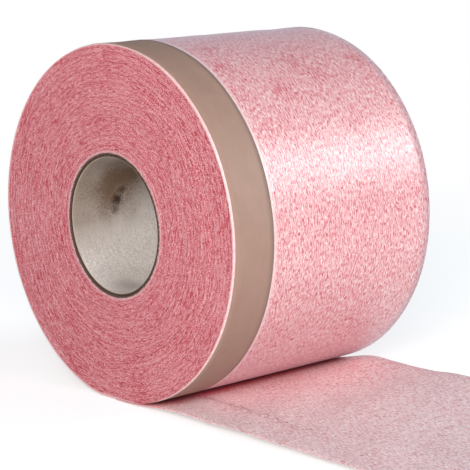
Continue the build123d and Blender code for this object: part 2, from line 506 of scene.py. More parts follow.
# %% Helpers for materials
def linear(hex_colour):
    """An sRGB hex colour as linear red, green, blue and full alpha."""
    channels = np.array([int(hex_colour[i:i + 2], 16) for i in (0, 2, 4)]) / 255
    low, high = channels / 12.92, ((channels + 0.055) / 1.055) ** 2.4
    return (*np.where(channels <= 0.04045, low, high), 1.0)


def add_node(tree, kind, inputs=None, stops=None, **settings):
    """Adds a node. An input is a value or another node's output, which is then linked."""
    made = tree.nodes.new(kind)
    for name, value in settings.items():
        setattr(made, name, value)
    for name, value in (inputs or {}).items():
        if isinstance(value, bpy.types.NodeSocket):
            tree.links.new(value, made.inputs[name])
        else:
            made.inputs[name].default_value = value
    if stops:
        for _ in stops[2:]:
            made.color_ramp.elements.new(0.5)
        for element, (place, colour) in zip(made.color_ramp.elements, stops):
            element.position = place
            element.color = colour
    return made


def new_material(name):
    """An empty material with its shader and output joined; returns it with its tree and shader."""
    material = bpy.data.materials.new(name)
    material.use_nodes = True
    tree = material.node_tree
    shader = tree.nodes["Principled BSDF"]
    return material, tree, shader


MIX_A, MIX_B, MIX_RESULT = 6, 7, 2      # the colour sockets of a Mix node
print("white is", linear("ffffff"))

# %% [markdown]
# ## Fleece outside of the membrane
# The outside is a thermally bonded polyester fleece: short fibres laid on the film and fused with
# hot rollers. It scatters light softly and looks pale and milky along its edges, which the
# shader's sheen gives. Fibre bundles show as short flecks that lie along the strip, so the noise
# is stretched along the web's own UV map. Fibres are about 0.02 mm thick; the flecks are drawn
# 0.6 mm wide and the bundles 1.1 mm wide, because nothing finer reads from the camera.

# %% Helpers for noise
NOISE_ROUGHNESS = 0.62          # each finer layer of a noise has this share of the one before
print("noise roughness", NOISE_ROUGHNESS)


def stretched_noise(tree, web, length, width, detail):
    """Noise on the web's own map with grains of the given length and width."""
    scaled = add_node(tree, "ShaderNodeMapping",
                      {"Vector": web, "Scale": (1 / length, 1 / width, 1)})
    noise = add_node(tree, "ShaderNodeTexNoise",
                     {"Vector": scaled.outputs["Vector"], "Scale": 1.0, "Detail": detail,
                      "Roughness": NOISE_ROUGHNESS})
    return noise.outputs["Fac"]


def weighted_sum(tree, parts):
    """Half, plus each grey value's distance from a half times its weight."""
    total = 0.5
    for value, weight in parts:
        term = add_node(tree, "ShaderNodeMath", {0: value, 1: weight, 2: -0.5 * weight},
                        operation="MULTIPLY_ADD").outputs["Value"]
        total = add_node(tree, "ShaderNodeMath", {0: total, 1: term},
                         operation="ADD").outputs["Value"]
    return total


# %% Fleece pattern
FLECK_WIDTH, FLECK_LENGTH = 0.6 * MM, 2.4 * MM
BUNDLE_WIDTH, BUNDLE_LENGTH = 1.1 * MM, 5.0 * MM
BUNDLE_DETAIL = 1.5
GRAIN = 0.8 * MM
CLUMP = 4.5 * MM
CLOUD = 22 * MM
print("fleece patterns from", round(FLECK_WIDTH / MM, 1), "to", round(CLOUD / MM, 1), "mm")


def fleece_pattern(tree, clumping):
    """Grey value of the fibre layer: short flecks, longer bundles, grain, clumps of the given
    weight and slow clouds. It also returns the web's map and the place, for what is laid over."""
    web = add_node(tree, "ShaderNodeUVMap", uv_map="web").outputs["UV"]
    place = add_node(tree, "ShaderNodeTexCoord").outputs["Object"]
    flecks = stretched_noise(tree, web, FLECK_LENGTH, FLECK_WIDTH, 1.0)
    bundles = stretched_noise(tree, web, BUNDLE_LENGTH, BUNDLE_WIDTH, BUNDLE_DETAIL)
    grain = add_node(tree, "ShaderNodeTexNoise",
                     {"Vector": place, "Scale": 1 / GRAIN, "Detail": 1.0}).outputs["Fac"]
    cloud = add_node(tree, "ShaderNodeTexNoise",
                     {"Vector": place, "Scale": 1 / CLOUD, "Detail": 3.0}).outputs["Fac"]
    clumps = add_node(tree, "ShaderNodeTexNoise",
                      {"Vector": place, "Scale": 1 / CLUMP, "Detail": 2.0}).outputs["Fac"]
    mixed = weighted_sum(tree, [(flecks, 1.7), (bundles, 0.9), (grain, 0.7),
                                (clumps, clumping), (cloud, 0.22)])
    return mixed, web, place


def finish_fleece(tree, shader, colour, height, gloss, sheen):
    """Joins the colour, gives the fibres relief and sets the soft sheen of fused fleece."""
    tree.links.new(colour, shader.inputs["Base Color"])
    relief = add_node(tree, "ShaderNodeBump", {"Height": height, "Strength": 0.22,
                                               "Distance": 0.25 * MM})
    tree.links.new(relief.outputs["Normal"], shader.inputs["Normal"])
    shader.inputs["Roughness"].default_value = 0.37
    shader.inputs["Specular IOR Level"].default_value = gloss
    shader.inputs["Sheen Weight"].default_value = sheen
    shader.inputs["Sheen Roughness"].default_value = 0.4
    shader.inputs["Sheen Tint"].default_value = linear("d4dcf0")


# %% Outer fleece: places where the fibre layer is thin
fleece, tree, shader = new_material("thermally_bonded_fleece")
mixed, web, place = fleece_pattern(tree, clumping=0.0)
# Each thin spot has a place and a size, in mm.
THIN_SPOTS = [((66, -8, 76), 10), ((49, -35, 88), 8), ((52, 62, 85), 10), ((51, 16, 87), 12),
              ((60, 25, 80), 9), ((30, -30, 96), 9)]
SPOT_CORE = 0.1                 # share of a spot's size that is thin throughout
spots = None
for centre, size in THIN_SPOTS:
    distance = add_node(tree, "ShaderNodeVectorMath",
                        {0: place, 1: tuple(v * MM for v in centre)},
                        operation="DISTANCE").outputs["Value"]
    spot = add_node(tree, "ShaderNodeMapRange",
                    {"Value": distance, "From Min": size * MM,
                     "From Max": SPOT_CORE * size * MM}).outputs["Result"]
    spots = spot if spots is None else add_node(
        tree, "ShaderNodeMath", {0: spots, 1: spot}, operation="MAXIMUM").outputs["Value"]
print(len(THIN_SPOTS), "thin spots")

# %% Outer fleece: colour
THINNING = 0.05                 # how far a thin spot pulls the fibres' grey value down
thinned = add_node(tree, "ShaderNodeMath", {0: spots, 1: -THINNING, 2: mixed},
                   operation="MULTIPLY_ADD").outputs["Value"]
pinks = add_node(tree, "ShaderNodeValToRGB", {"Fac": thinned},
                 stops=[(0.10, linear("b23f4b")), (0.30, linear("d1787f")),
                        (0.48, linear("dba0a3")), (0.64, linear("e0b4b6")),
                        (0.90, linear("ecd8d8"))]).outputs["Color"]
print("outer fleece so far:", len(tree.nodes), "nodes")

# %% Outer fleece: single dark flecks, where the red film shows through
SINGLE_LENGTH, SINGLE_WIDTH = 3.4 * MM, 0.9 * MM
NO_FLECK, FULL_FLECK = 0.34, 0.29           # grey values of the noise that makes them
MORE_FLECKS = 0.14              # how far a thin spot raises the chance of a fleck
sparse = stretched_noise(tree, web, SINGLE_LENGTH, SINGLE_WIDTH, 0.0)
sparse = add_node(tree, "ShaderNodeMath", {0: spots, 1: -MORE_FLECKS, 2: sparse},
                  operation="MULTIPLY_ADD").outputs["Value"]
single = add_node(tree, "ShaderNodeMapRange",
                  {"Value": sparse, "From Min": NO_FLECK, "From Max": FULL_FLECK,
                   "To Max": 0.85}).outputs["Result"]
with_spots = add_node(tree, "ShaderNodeMix", {0: single, MIX_A: pinks, MIX_B: linear("bc3442")},
                      data_type="RGBA").outputs[MIX_RESULT]
print("single flecks are", round(SINGLE_LENGTH / MM, 1), "mm long")

# %% Outer fleece: pale bands on both sides of the liner, partly painted highlight
# The strip is paler from its near edge to a little past the liner, which covers the middle of it.
# This is partly a paler margin of the fleece and partly painted highlight on the ridge at the
# liner's edge.
BAND_WIDTH = 3.4 * MM
BAND_CORE = 0.3                 # share of its width before it starts to fade
liner_far = (LINER_NEAR + LINER_WIDTH) * MM
axes = add_node(tree, "ShaderNodeSeparateXYZ", {"Vector": place}).outputs
beside = add_node(tree, "ShaderNodeMapRange",
                  {"Value": axes["Y"], "From Min": liner_far + BAND_CORE * BAND_WIDTH,
                   "From Max": liner_far + BAND_WIDTH, "To Min": 0.6,
                   "To Max": 0.0}).outputs["Result"]
banded = add_node(tree, "ShaderNodeMix",
                  {0: beside, MIX_A: with_spots, MIX_B: linear("efd4d3")},
                  data_type="RGBA").outputs[MIX_RESULT]
print("the pale band ends at y =", round((liner_far + BAND_WIDTH) / MM, 1), "mm")

# %% Outer fleece: painted shade, crimson, in the fold where the roll stands on its loose end
FOLD_TOP, FOLD_FULL = -93.0 * MM, -97.3 * MM            # along Z
FOOT_BARE, FOOT_FULL = 12 * MM, 24 * MM                 # along X
# Painted shade: the crimson stands for the dark red that the fold shows, where little light reaches.
fold = add_node(tree, "ShaderNodeMapRange",
                {"Value": axes["Z"], "From Min": FOLD_TOP, "From Max": FOLD_FULL,
                 "To Max": 0.9}).outputs["Result"]
beside_foot = add_node(tree, "ShaderNodeMapRange",
                       {"Value": axes["X"], "From Min": FOOT_BARE,
                        "From Max": FOOT_FULL}).outputs["Result"]
fold = add_node(tree, "ShaderNodeMath", {0: fold, 1: beside_foot},
                operation="MULTIPLY").outputs["Value"]
with_fold_shade = add_node(tree, "ShaderNodeMix", {0: fold, MIX_A: banded, MIX_B: linear("e8283a")},
                  data_type="RGBA").outputs[MIX_RESULT]
finish_fleece(tree, shader, with_fold_shade, mixed, gloss=0.95, sheen=0.25)
print(fleece.name, "has", len(tree.nodes), "nodes")

# %% [markdown]
# ## Inner fleece of the loose end
# The loose end shows the strip's other face, because the outside of the roll turns down to the
# floor. That face is a thinner, greyer fleece. It is deep pink close to the roll, and painted
# light makes it paler towards its near edge there. In the fold it has painted shade: deep red,
# darkest under the roll. A row of dark flecks marks the crease over the liner's inner edge. Each of
# these is a soft mask over the place, laid on two colour scales of the same fibre pattern.

# %% Inner fleece: greyer colours, and pinker ones for near the roll
inner_fleece, tree, shader = new_material("carded_inner_fleece")
mixed, web, place = fleece_pattern(tree, clumping=0.35)
greyed = add_node(tree, "ShaderNodeValToRGB", {"Fac": mixed},
                  stops=[(0.12, linear("bc7c82")), (0.35, linear("dcb2b5")),
                         (0.52, linear("e5c8c9")), (0.66, linear("ebd6d7")),
                         (0.84, linear("f4e8e8"))]).outputs["Color"]
near_roll_pinks = add_node(tree, "ShaderNodeValToRGB", {"Fac": mixed},
                 stops=[(0.12, linear("c04654")), (0.35, linear("e8a0a4")),
                        (0.52, linear("f0bebf")), (0.66, linear("f3cfcf")),
                        (0.84, linear("f6e0e0"))]).outputs["Color"]
print("inner fleece's fibres and colours:", len(tree.nodes), "nodes")

# %% Inner fleece: pinker near the roll, and painted light towards the near edge
PINK_FULL, PINK_END = 25 * MM, 120 * MM             # along X, on the roll's middle
PINK_SLANT = -0.35            # the far side stays pink further out
EDGE_START, EDGE_FULL = -15 * MM, -60 * MM              # along Y
axes = add_node(tree, "ShaderNodeSeparateXYZ", {"Vector": place}).outputs
# The sheet turns from the greyer colours to the pinker ones as it comes near the roll.
from_roll = add_node(tree, "ShaderNodeMath", {0: axes["Y"], 1: PINK_SLANT, 2: axes["X"]},
                     operation="MULTIPLY_ADD").outputs["Value"]
near_roll_share = add_node(tree, "ShaderNodeMapRange",
                  {"Value": from_roll, "From Min": PINK_END, "From Max": PINK_FULL},
                  interpolation_type="SMOOTHSTEP").outputs["Result"]
colour = add_node(tree, "ShaderNodeMix", {0: near_roll_share, MIX_A: greyed, MIX_B: near_roll_pinks},
                  data_type="RGBA").outputs[MIX_RESULT]
# Painted light: near the roll the sheet is made paler towards its near edge, brightening what the
# lamps leave dark.
near_edge_light = add_node(tree, "ShaderNodeMapRange",
                     {"Value": axes["Y"], "From Min": EDGE_START, "From Max": EDGE_FULL,
                      "To Max": 0.75}).outputs["Result"]
near_edge_light = add_node(tree, "ShaderNodeMath", {0: near_edge_light, 1: near_roll_share},
                     operation="MULTIPLY").outputs["Value"]
colour = add_node(tree, "ShaderNodeMix", {0: near_edge_light, MIX_A: colour, MIX_B: linear("ffdfe2")},
                  data_type="RGBA").outputs[MIX_RESULT]
print("inner fleece so far:", len(tree.nodes), "nodes")

# %% Inner fleece: painted shade, deep red, in the fold by the roll
RAGGED_BY = 12 * MM             # how far the fibres move the fold's edge
FOLD_END, FOLD_START = 51 * MM, 33 * MM                 # along X
DARK_UNTIL, BRIGHT_FROM = 23 * MM, 31 * MM              # along X, out of the roll's shadow
SIDE_EDGE, SIDE_INWARD = 74 * MM, 60 * MM               # from the strip's middle
ragged = add_node(tree, "ShaderNodeMath", {0: mixed, 1: RAGGED_BY, 2: axes["X"]},
                  operation="MULTIPLY_ADD").outputs["Value"]
# Painted shade: deep red in the fold, darkest under the roll, where the roll's shadow falls.
contact_shade = add_node(tree, "ShaderNodeMapRange",
                   {"Value": ragged, "From Min": FOLD_END, "From Max": FOLD_START,
                    "To Max": 0.98}, interpolation_type="SMOOTHSTEP").outputs["Result"]
out_of_roll_shadow = add_node(tree, "ShaderNodeMapRange",
                   {"Value": axes["X"], "From Min": DARK_UNTIL,
                    "From Max": BRIGHT_FROM}).outputs["Result"]
reds = add_node(tree, "ShaderNodeMix",
                {0: out_of_roll_shadow, MIX_A: linear("98182c"), MIX_B: linear("f0283a")},
                data_type="RGBA").outputs[MIX_RESULT]
off_middle = add_node(tree, "ShaderNodeMath", {0: axes["Y"]},
                      operation="ABSOLUTE").outputs["Value"]
inward = add_node(tree, "ShaderNodeMapRange",
                  {"Value": off_middle, "From Min": SIDE_EDGE, "From Max": SIDE_INWARD,
                   "To Min": 0.45}).outputs["Result"]
contact_shade = add_node(tree, "ShaderNodeMath", {0: contact_shade, 1: inward},
                   operation="MULTIPLY").outputs["Value"]
colour = add_node(tree, "ShaderNodeMix", {0: contact_shade, MIX_A: colour, MIX_B: reds},
                  data_type="RGBA").outputs[MIX_RESULT]
print("the red fold ends by x =", round(FOLD_END / MM), "mm")

# %% Inner fleece: dark flecks on the crease
CREASE_SLOPE, CREASE_PLACE = 0.066, 39 * MM     # its drift with X, and its distance from Y = 0
CREASE_WANDER = 6 * MM          # how far the fibres move it
CREASE_REACH, CREASE_CORE = 3.2 * MM, 0.6 * MM
CREASE_END, CREASE_FULL = 170 * MM, 100 * MM    # along X
NO_BUNDLE, FULL_BUNDLE = 0.54, 0.44             # grey values of the bundles
crease = add_node(tree, "ShaderNodeMath", {0: axes["X"], 1: CREASE_SLOPE, 2: axes["Y"]},
                  operation="MULTIPLY_ADD").outputs["Value"]
crease = add_node(tree, "ShaderNodeMath", {0: mixed, 1: CREASE_WANDER, 2: crease},
                  operation="MULTIPLY_ADD").outputs["Value"]
crease = add_node(tree, "ShaderNodeMath", {0: crease, 1: CREASE_PLACE}, operation="ADD")
crease = add_node(tree, "ShaderNodeMath", {0: crease.outputs["Value"]}, operation="ABSOLUTE")
on_crease = add_node(tree, "ShaderNodeMapRange",
                     {"Value": crease.outputs["Value"], "From Min": CREASE_REACH,
                      "From Max": CREASE_CORE}).outputs["Result"]
fading = add_node(tree, "ShaderNodeMapRange",
                  {"Value": axes["X"], "From Min": CREASE_END, "From Max": CREASE_FULL,
                   "To Max": 0.65}).outputs["Result"]
on_crease = add_node(tree, "ShaderNodeMath", {0: on_crease, 1: fading},
                     operation="MULTIPLY").outputs["Value"]
bundles = stretched_noise(tree, web, BUNDLE_LENGTH, BUNDLE_WIDTH, BUNDLE_DETAIL)
dark = add_node(tree, "ShaderNodeMapRange",
                {"Value": bundles, "From Min": NO_BUNDLE,
                 "From Max": FULL_BUNDLE}).outputs["Result"]
dark = add_node(tree, "ShaderNodeMath", {0: dark, 1: on_crease}, operation="MULTIPLY")
colour = add_node(tree, "ShaderNodeMix",
                  {0: dark.outputs["Value"], MIX_A: colour, MIX_B: linear("a8505c")},
                  data_type="RGBA").outputs[MIX_RESULT]
finish_fleece(tree, shader, colour, mixed, gloss=0.15, sheen=0.08)
print(inner_fleece.name, "has", len(tree.nodes), "nodes")

# %% [markdown]
# ## Cut edge of the wound turns
# The ends show the slit edge of the membrane: film, adhesive and the crushed tips of the fleece.
# The tone changes along each turn and from turn to turn, because the knife cuts a little rougher
# or cleaner and neighbouring turns lie far apart on the strip. So the tone is a slow noise of the
# length along the web. Dark seams mark where turns meet, and a thin line shows every 2.7 mm, where
# a few clinging turns part from the next. The outer rim and the foot are pale with pulled fibres,
# and a dark brown ring goes round the core: partly glue, partly painted shade of the gap between
# the core and the first turn.

# %% Cut edge: distance from the axis, and a tone that changes along the strip
TURN_TONE_LENGTH = 55 * MM
cut_edge, tree, shader = new_material("slit_membrane_edge")
web = add_node(tree, "ShaderNodeUVMap", uv_map="web").outputs["UV"]
place = add_node(tree, "ShaderNodeTexCoord").outputs["Object"]
flat = add_node(tree, "ShaderNodeVectorMath", {0: place, 1: (1, 0, 1)}, operation="MULTIPLY")
radius = add_node(tree, "ShaderNodeVectorMath", {0: flat.outputs["Vector"]},
                  operation="LENGTH").outputs["Value"]
along = add_node(tree, "ShaderNodeSeparateXYZ", {"Vector": web})
slow_length = add_node(tree, "ShaderNodeMath",
                       {0: along.outputs["X"], 1: 1 / TURN_TONE_LENGTH}, operation="MULTIPLY")
tone = add_node(tree, "ShaderNodeTexNoise",
                {"W": slow_length.outputs["Value"], "Scale": 1.0, "Detail": 1.0},
                noise_dimensions="1D").outputs["Fac"]
print("the tone changes over", round(TURN_TONE_LENGTH / MM), "mm of strip")

# %% Cut edge: dashes, grain and clouds
DASH_LENGTH, DASH_WIDTH = 3.6 * MM, 0.45 * MM
EDGE_GRAIN, EDGE_CLOUD = 0.65 * MM, 26 * MM
dashes = stretched_noise(tree, web, DASH_LENGTH, DASH_WIDTH, 1.0)
grain = add_node(tree, "ShaderNodeTexNoise",
                 {"Vector": place, "Scale": 1 / EDGE_GRAIN, "Detail": 1.0}).outputs["Fac"]
cloud = add_node(tree, "ShaderNodeTexNoise",
                 {"Vector": place, "Scale": 1 / EDGE_CLOUD, "Detail": 3.0}).outputs["Fac"]
print("dashes", round(DASH_LENGTH / MM, 2), "by", round(DASH_WIDTH / MM, 2), "mm")

# %% Cut edge: partings between clinging turns, seams between any two, and the colour
PARTING_PITCH = 2.7 * MM        # turns cling in threes, and a thin line shows where they part
WOBBLE, WOBBLE_LENGTH = 9.0, 9 * MM         # how far the partings wander, in radians, and over what
wavy = add_node(tree, "ShaderNodeTexNoise",
                {"Vector": place, "Scale": 1 / WOBBLE_LENGTH, "Detail": 1.0}).outputs["Fac"]
parting_angle = add_node(tree, "ShaderNodeMath", {0: radius, 1: 2 * np.pi / PARTING_PITCH},
                         operation="MULTIPLY").outputs["Value"]
parting_angle = add_node(tree, "ShaderNodeMath", {0: wavy, 1: WOBBLE, 2: parting_angle},
                         operation="MULTIPLY_ADD").outputs["Value"]
partings = add_node(tree, "ShaderNodeMath", {0: parting_angle},
                    operation="SINE").outputs["Value"]
partings = add_node(tree, "ShaderNodeMapRange",
                    {"Value": partings, "From Min": 0.3, "From Max": 1.0, "To Min": 0.6,
                     "To Max": 0.0}).outputs["Result"]
share = add_node(tree, "ShaderNodeMath", {0: along.outputs["Y"], 1: 1 / (thickness * MM)},
                 operation="MULTIPLY").outputs["Value"]
from_crest = add_node(tree, "ShaderNodeMath", {0: share, 1: 0.5},
                      operation="SUBTRACT").outputs["Value"]
from_crest = add_node(tree, "ShaderNodeMath", {0: from_crest}, operation="ABSOLUTE")
seam = add_node(tree, "ShaderNodeMapRange",
                {"Value": from_crest.outputs["Value"], "From Min": 0.26, "From Max": 0.5,
                 "To Min": 0.6, "To Max": 0.2}).outputs["Result"]
mixed = weighted_sum(tree, [(tone, 0.4), (dashes, 1.3), (grain, 2.0), (cloud, 0.2),
                            (seam, 0.4), (partings, 0.24)])
reds = add_node(tree, "ShaderNodeValToRGB", {"Fac": mixed},
                stops=[(0.06, linear("94182c")), (0.26, linear("be4355")),
                       (0.44, linear("ca747b")), (0.66, linear("d0898f")),
                       (0.92, linear("dda8ac"))]).outputs["Color"]
print("partings every", round(PARTING_PITCH / MM, 1), "mm")

# %% Cut edge: dark red dashes in clusters
LONG_DASH_LENGTH, LONG_DASH_WIDTH = 4.5 * MM, 0.7 * MM
CLUSTER = 13 * MM
long_dashes = stretched_noise(tree, web, LONG_DASH_LENGTH, LONG_DASH_WIDTH, 0.5)
clusters = add_node(tree, "ShaderNodeTexNoise",
                    {"Vector": place, "Scale": 1 / CLUSTER, "Detail": 1.0}).outputs["Fac"]
chance = add_node(tree, "ShaderNodeMath", {0: clusters, 1: 0.5, 2: long_dashes},
                  operation="MULTIPLY_ADD").outputs["Value"]
dash = add_node(tree, "ShaderNodeMapRange",
                {"Value": chance, "From Min": 0.88, "From Max": 0.94,
                 "To Max": 0.8}).outputs["Result"]
dashed = add_node(tree, "ShaderNodeMix", {0: dash, MIX_A: reds, MIX_B: linear("ac1c34")},
                  data_type="RGBA").outputs[MIX_RESULT]
print("dark dashes cluster over", round(CLUSTER / MM), "mm")

# %% Cut edge: pale outer rim and foot
RIM_START, RIM_FULL = WOUND_RADIUS - 1.5, WOUND_RADIUS - 0.7        # mm from the axis
PALE_FOOT_TOP, PALE_FOOT_FULL = floor_z + 2.2, floor_z + 1.4        # mm along Z
rim = add_node(tree, "ShaderNodeMapRange",
               {"Value": radius, "From Min": RIM_START * MM, "From Max": RIM_FULL * MM,
                "To Max": 0.85}).outputs["Result"]
low = add_node(tree, "ShaderNodeSeparateXYZ", {"Vector": place}).outputs["Z"]
foot = add_node(tree, "ShaderNodeMapRange",
                {"Value": low, "From Min": PALE_FOOT_TOP * MM, "From Max": PALE_FOOT_FULL * MM,
                 "To Max": 0.85}).outputs["Result"]
rim = add_node(tree, "ShaderNodeMath", {0: rim, 1: foot}, operation="MAXIMUM").outputs["Value"]
rimmed = add_node(tree, "ShaderNodeMix", {0: rim, MIX_A: dashed, MIX_B: linear("ebc4c3")},
                  data_type="RGBA").outputs[MIX_RESULT]
print("the pale rim starts", round(RIM_START, 2), "mm from the axis")

# %% Cut edge: pale first turns, and a dark ring round the core, glue and painted shade
RIM_WEAR = 1.2 * MM             # how far the grain moves these two lines
PALE_END, PALE_FULL = 42.9 * MM, 42.0 * MM              # from the axis, the wear included
GLUE_SHADE_END, GLUE_SHADE_FULL = 41.3 * MM, 40.9 * MM
worn = add_node(tree, "ShaderNodeMath", {0: grain, 1: RIM_WEAR, 2: radius},
                operation="MULTIPLY_ADD").outputs["Value"]
pale = add_node(tree, "ShaderNodeMapRange",
                {"Value": worn, "From Min": PALE_END, "From Max": PALE_FULL, "To Max": 0.4})
first_turn = add_node(tree, "ShaderNodeMix",
                      {0: pale.outputs["Result"], MIX_A: rimmed, MIX_B: linear("dcc0be")},
                      data_type="RGBA").outputs[MIX_RESULT]
# The dark ring is partly glue and partly painted shade, for the gap between the core and the first
# turn.
gap = add_node(tree, "ShaderNodeMapRange",
               {"Value": worn, "From Min": GLUE_SHADE_END, "From Max": GLUE_SHADE_FULL, "To Max": 0.95})
glue_and_gap_shade = add_node(tree, "ShaderNodeMix",
                 {0: gap.outputs["Result"], MIX_A: first_turn, MIX_B: linear("452e25")},
                 data_type="RGBA").outputs[MIX_RESULT]
tree.links.new(glue_and_gap_shade, shader.inputs["Base Color"])
relief = add_node(tree, "ShaderNodeBump", {"Height": mixed, "Strength": 0.6,
                                           "Distance": 0.25 * MM})
tree.links.new(relief.outputs["Normal"], shader.inputs["Normal"])
shader.inputs["Roughness"].default_value = 0.75
shader.inputs["Sheen Weight"].default_value = 0.15
shader.inputs["Sheen Roughness"].default_value = 0.5
print(cut_edge.name, "has", len(tree.nodes), "nodes")

# %% [markdown]
# ## Paper liner
# Release paper is calendered, pressed between steel rollers, and coated, so it is smooth and a
# little glossy, with a fine grain in the machine's direction, along the strip. Its tan is even,
# so the grain and a faint cloudiness carry all the detail.

# %% Liner material
PAPER_GRAIN_LENGTH, PAPER_GRAIN_WIDTH = 14 * MM, 0.9 * MM
PAPER_CLOUD = 9 * MM
paper, tree, shader = new_material("calendered_release_paper")
web = add_node(tree, "ShaderNodeUVMap", uv_map="web").outputs["UV"]
place = add_node(tree, "ShaderNodeTexCoord").outputs["Object"]
grain = stretched_noise(tree, web, PAPER_GRAIN_LENGTH, PAPER_GRAIN_WIDTH, 3.0)
cloud = add_node(tree, "ShaderNodeTexNoise",
                 {"Vector": place, "Scale": 1 / PAPER_CLOUD, "Detail": 3.0}).outputs["Fac"]
mixed = weighted_sum(tree, [(grain, 0.6), (cloud, 0.6)])
tans = add_node(tree, "ShaderNodeValToRGB", {"Fac": mixed},
                stops=[(0.2, linear("967769")), (0.8, linear("a18375"))]).outputs["Color"]
tree.links.new(tans, shader.inputs["Base Color"])
relief = add_node(tree, "ShaderNodeBump", {"Height": mixed, "Strength": 0.15,
                                           "Distance": 0.1 * MM})
tree.links.new(relief.outputs["Normal"], shader.inputs["Normal"])
shader.inputs["Roughness"].default_value = 0.55
shader.inputs["Specular IOR Level"].default_value = 0.4
print(paper.name, "has", len(tree.nodes), "nodes")

# %% [markdown]
# ## Cardboard of the core
# The core is spiral-wound grey board: recycled paper with short fibres and specks, rubbed smooth
# inside by the winding mandrel, which leaves fine lines round the bore. The cut ends are darker,
# partly because the saw burnishes and soils them and partly as painted shade, for ends that lie in
# shadow. The upper part of the inside is darkened with painted shade, where the light from above
# does not reach, and a few small brown smudges of dirt lie on it.

# %% Core bore: lines, grain and colour
BOARD_LINE_LENGTH, BOARD_LINE_WIDTH = 9 * MM, 0.9 * MM
BOARD_GRAIN, BOARD_CLOUD = 1.1 * MM, 16 * MM
board, tree, shader = new_material("spiral_wound_grey_board")
web = add_node(tree, "ShaderNodeUVMap", uv_map="web").outputs["UV"]
place = add_node(tree, "ShaderNodeTexCoord").outputs["Object"]
lines = stretched_noise(tree, web, BOARD_LINE_LENGTH, BOARD_LINE_WIDTH, 2.0)
grain = add_node(tree, "ShaderNodeTexNoise",
                 {"Vector": place, "Scale": 1 / BOARD_GRAIN, "Detail": 2.0}).outputs["Fac"]
cloud = add_node(tree, "ShaderNodeTexNoise",
                 {"Vector": place, "Scale": 1 / BOARD_CLOUD, "Detail": 2.0}).outputs["Fac"]
mixed = weighted_sum(tree, [(lines, 0.5), (grain, 0.9), (cloud, 0.3)])
greys = add_node(tree, "ShaderNodeValToRGB", {"Fac": mixed},
                 stops=[(0.2, linear("b9aea6")), (0.5, linear("d6cec8")),
                        (0.8, linear("efece8"))]).outputs["Color"]
print("board grain of", round(BOARD_GRAIN / MM, 1), "mm")

# %% Core bore: painted shade towards the near end, except at the bottom
SHADE_START, SHADE_FULL = -40 * MM, -72 * MM          # along Y
LIT_BELOW, SHADED_ABOVE = -26 * MM, -4 * MM           # along Z
axes = add_node(tree, "ShaderNodeSeparateXYZ", {"Vector": place}).outputs
# Painted shade: the upper part of the bore near its opening is darkened, where light from above does
# not reach.
high = add_node(tree, "ShaderNodeMapRange",
                {"Value": axes["Z"], "From Min": LIT_BELOW,
                 "From Max": SHADED_ABOVE}).outputs["Result"]
upper_shade = add_node(tree, "ShaderNodeMapRange",
                  {"Value": axes["Y"], "From Min": SHADE_START, "From Max": SHADE_FULL,
                   "To Max": 0.95}).outputs["Result"]
upper_shade = add_node(tree, "ShaderNodeMath", {0: upper_shade, 1: high}, operation="MULTIPLY")
greys = add_node(tree, "ShaderNodeMix",
                 {0: upper_shade.outputs["Value"], MIX_A: greys, MIX_B: linear("9f9184")},
                 data_type="RGBA").outputs[MIX_RESULT]
print("core bore so far:", len(tree.nodes), "nodes")

# %% Stains on the core's inside, and painted shade over its upper part
# Each has a place and a reach in mm, the share of the reach that is full, a strength and a colour.
# The first entry is painted shade: a broad dark brown over the upper inside, out of the light from
# above. The next three are small dark smudges of dirt, the last a faint brown patch low near the
# opening.
STAINS_AND_SHADE = [((-32, -43, 20), 39, 0.12, 0.93, "6a4f36"),
          ((-37.4, -41.7, 6.8), 5.0, 0.1, 0.9, "2c1a0c"),
          ((-36.1, -39.6, 11.9), 4.6, 0.1, 0.7, "3a2412"),
          ((-38, -43.3, 1), 4.2, 0.1, 0.6, "3a2412"),
          ((-8, -58, -37), 13, 0.1, 0.35, "6a4f36")]
RAGGEDNESS = 0.8                # how far the edge wanders, as a share of the stain's reach
blot = weighted_sum(tree, [(cloud, 0.8), (grain, 1.0)])
stained_and_shaded = greys
for centre, reach, full, strength, stain_and_shade_colour in STAINS_AND_SHADE:
    distance = add_node(tree, "ShaderNodeVectorMath",
                        {0: place, 1: tuple(v * MM for v in centre)},
                        operation="DISTANCE").outputs["Value"]
    ragged = add_node(tree, "ShaderNodeMath", {0: blot, 1: -RAGGEDNESS * reach * MM, 2: distance},
                      operation="MULTIPLY_ADD").outputs["Value"]
    depth = add_node(tree, "ShaderNodeMapRange",
                     {"Value": ragged, "From Min": (1 - RAGGEDNESS / 2) * reach * MM,
                      "From Max": (full - RAGGEDNESS / 2) * reach * MM, "To Max": strength},
                     interpolation_type="SMOOTHSTEP").outputs["Result"]
    stained_and_shaded = add_node(tree, "ShaderNodeMix",
                       {0: depth, MIX_A: stained_and_shaded, MIX_B: linear(stain_and_shade_colour)},
                       data_type="RGBA").outputs[MIX_RESULT]
tree.links.new(stained_and_shaded, shader.inputs["Base Color"])
relief = add_node(tree, "ShaderNodeBump", {"Height": mixed, "Strength": 0.3,
                                           "Distance": 0.15 * MM})
tree.links.new(relief.outputs["Normal"], shader.inputs["Normal"])
shader.inputs["Roughness"].default_value = 0.7
shader.inputs["Specular IOR Level"].default_value = 0.25
print(board.name, "has", len(STAINS_AND_SHADE), "stains and", len(tree.nodes), "nodes")

# %% Core's sawn ends: dark board, partly painted shade
SAWN_GRAIN = 1.5 * MM
LIP_WEAR = 0.5 * MM             # how far the grain moves the pale lip round the bore
LIP_END, LIP_FULL = 38.6 * MM, 38.45 * MM               # from the axis, the wear included
cut_board, tree, shader = new_material("sawn_grey_board")
place = add_node(tree, "ShaderNodeTexCoord").outputs["Object"]
grain = add_node(tree, "ShaderNodeTexNoise",
                 {"Vector": place, "Scale": 1 / SAWN_GRAIN, "Detail": 3.0}).outputs["Fac"]
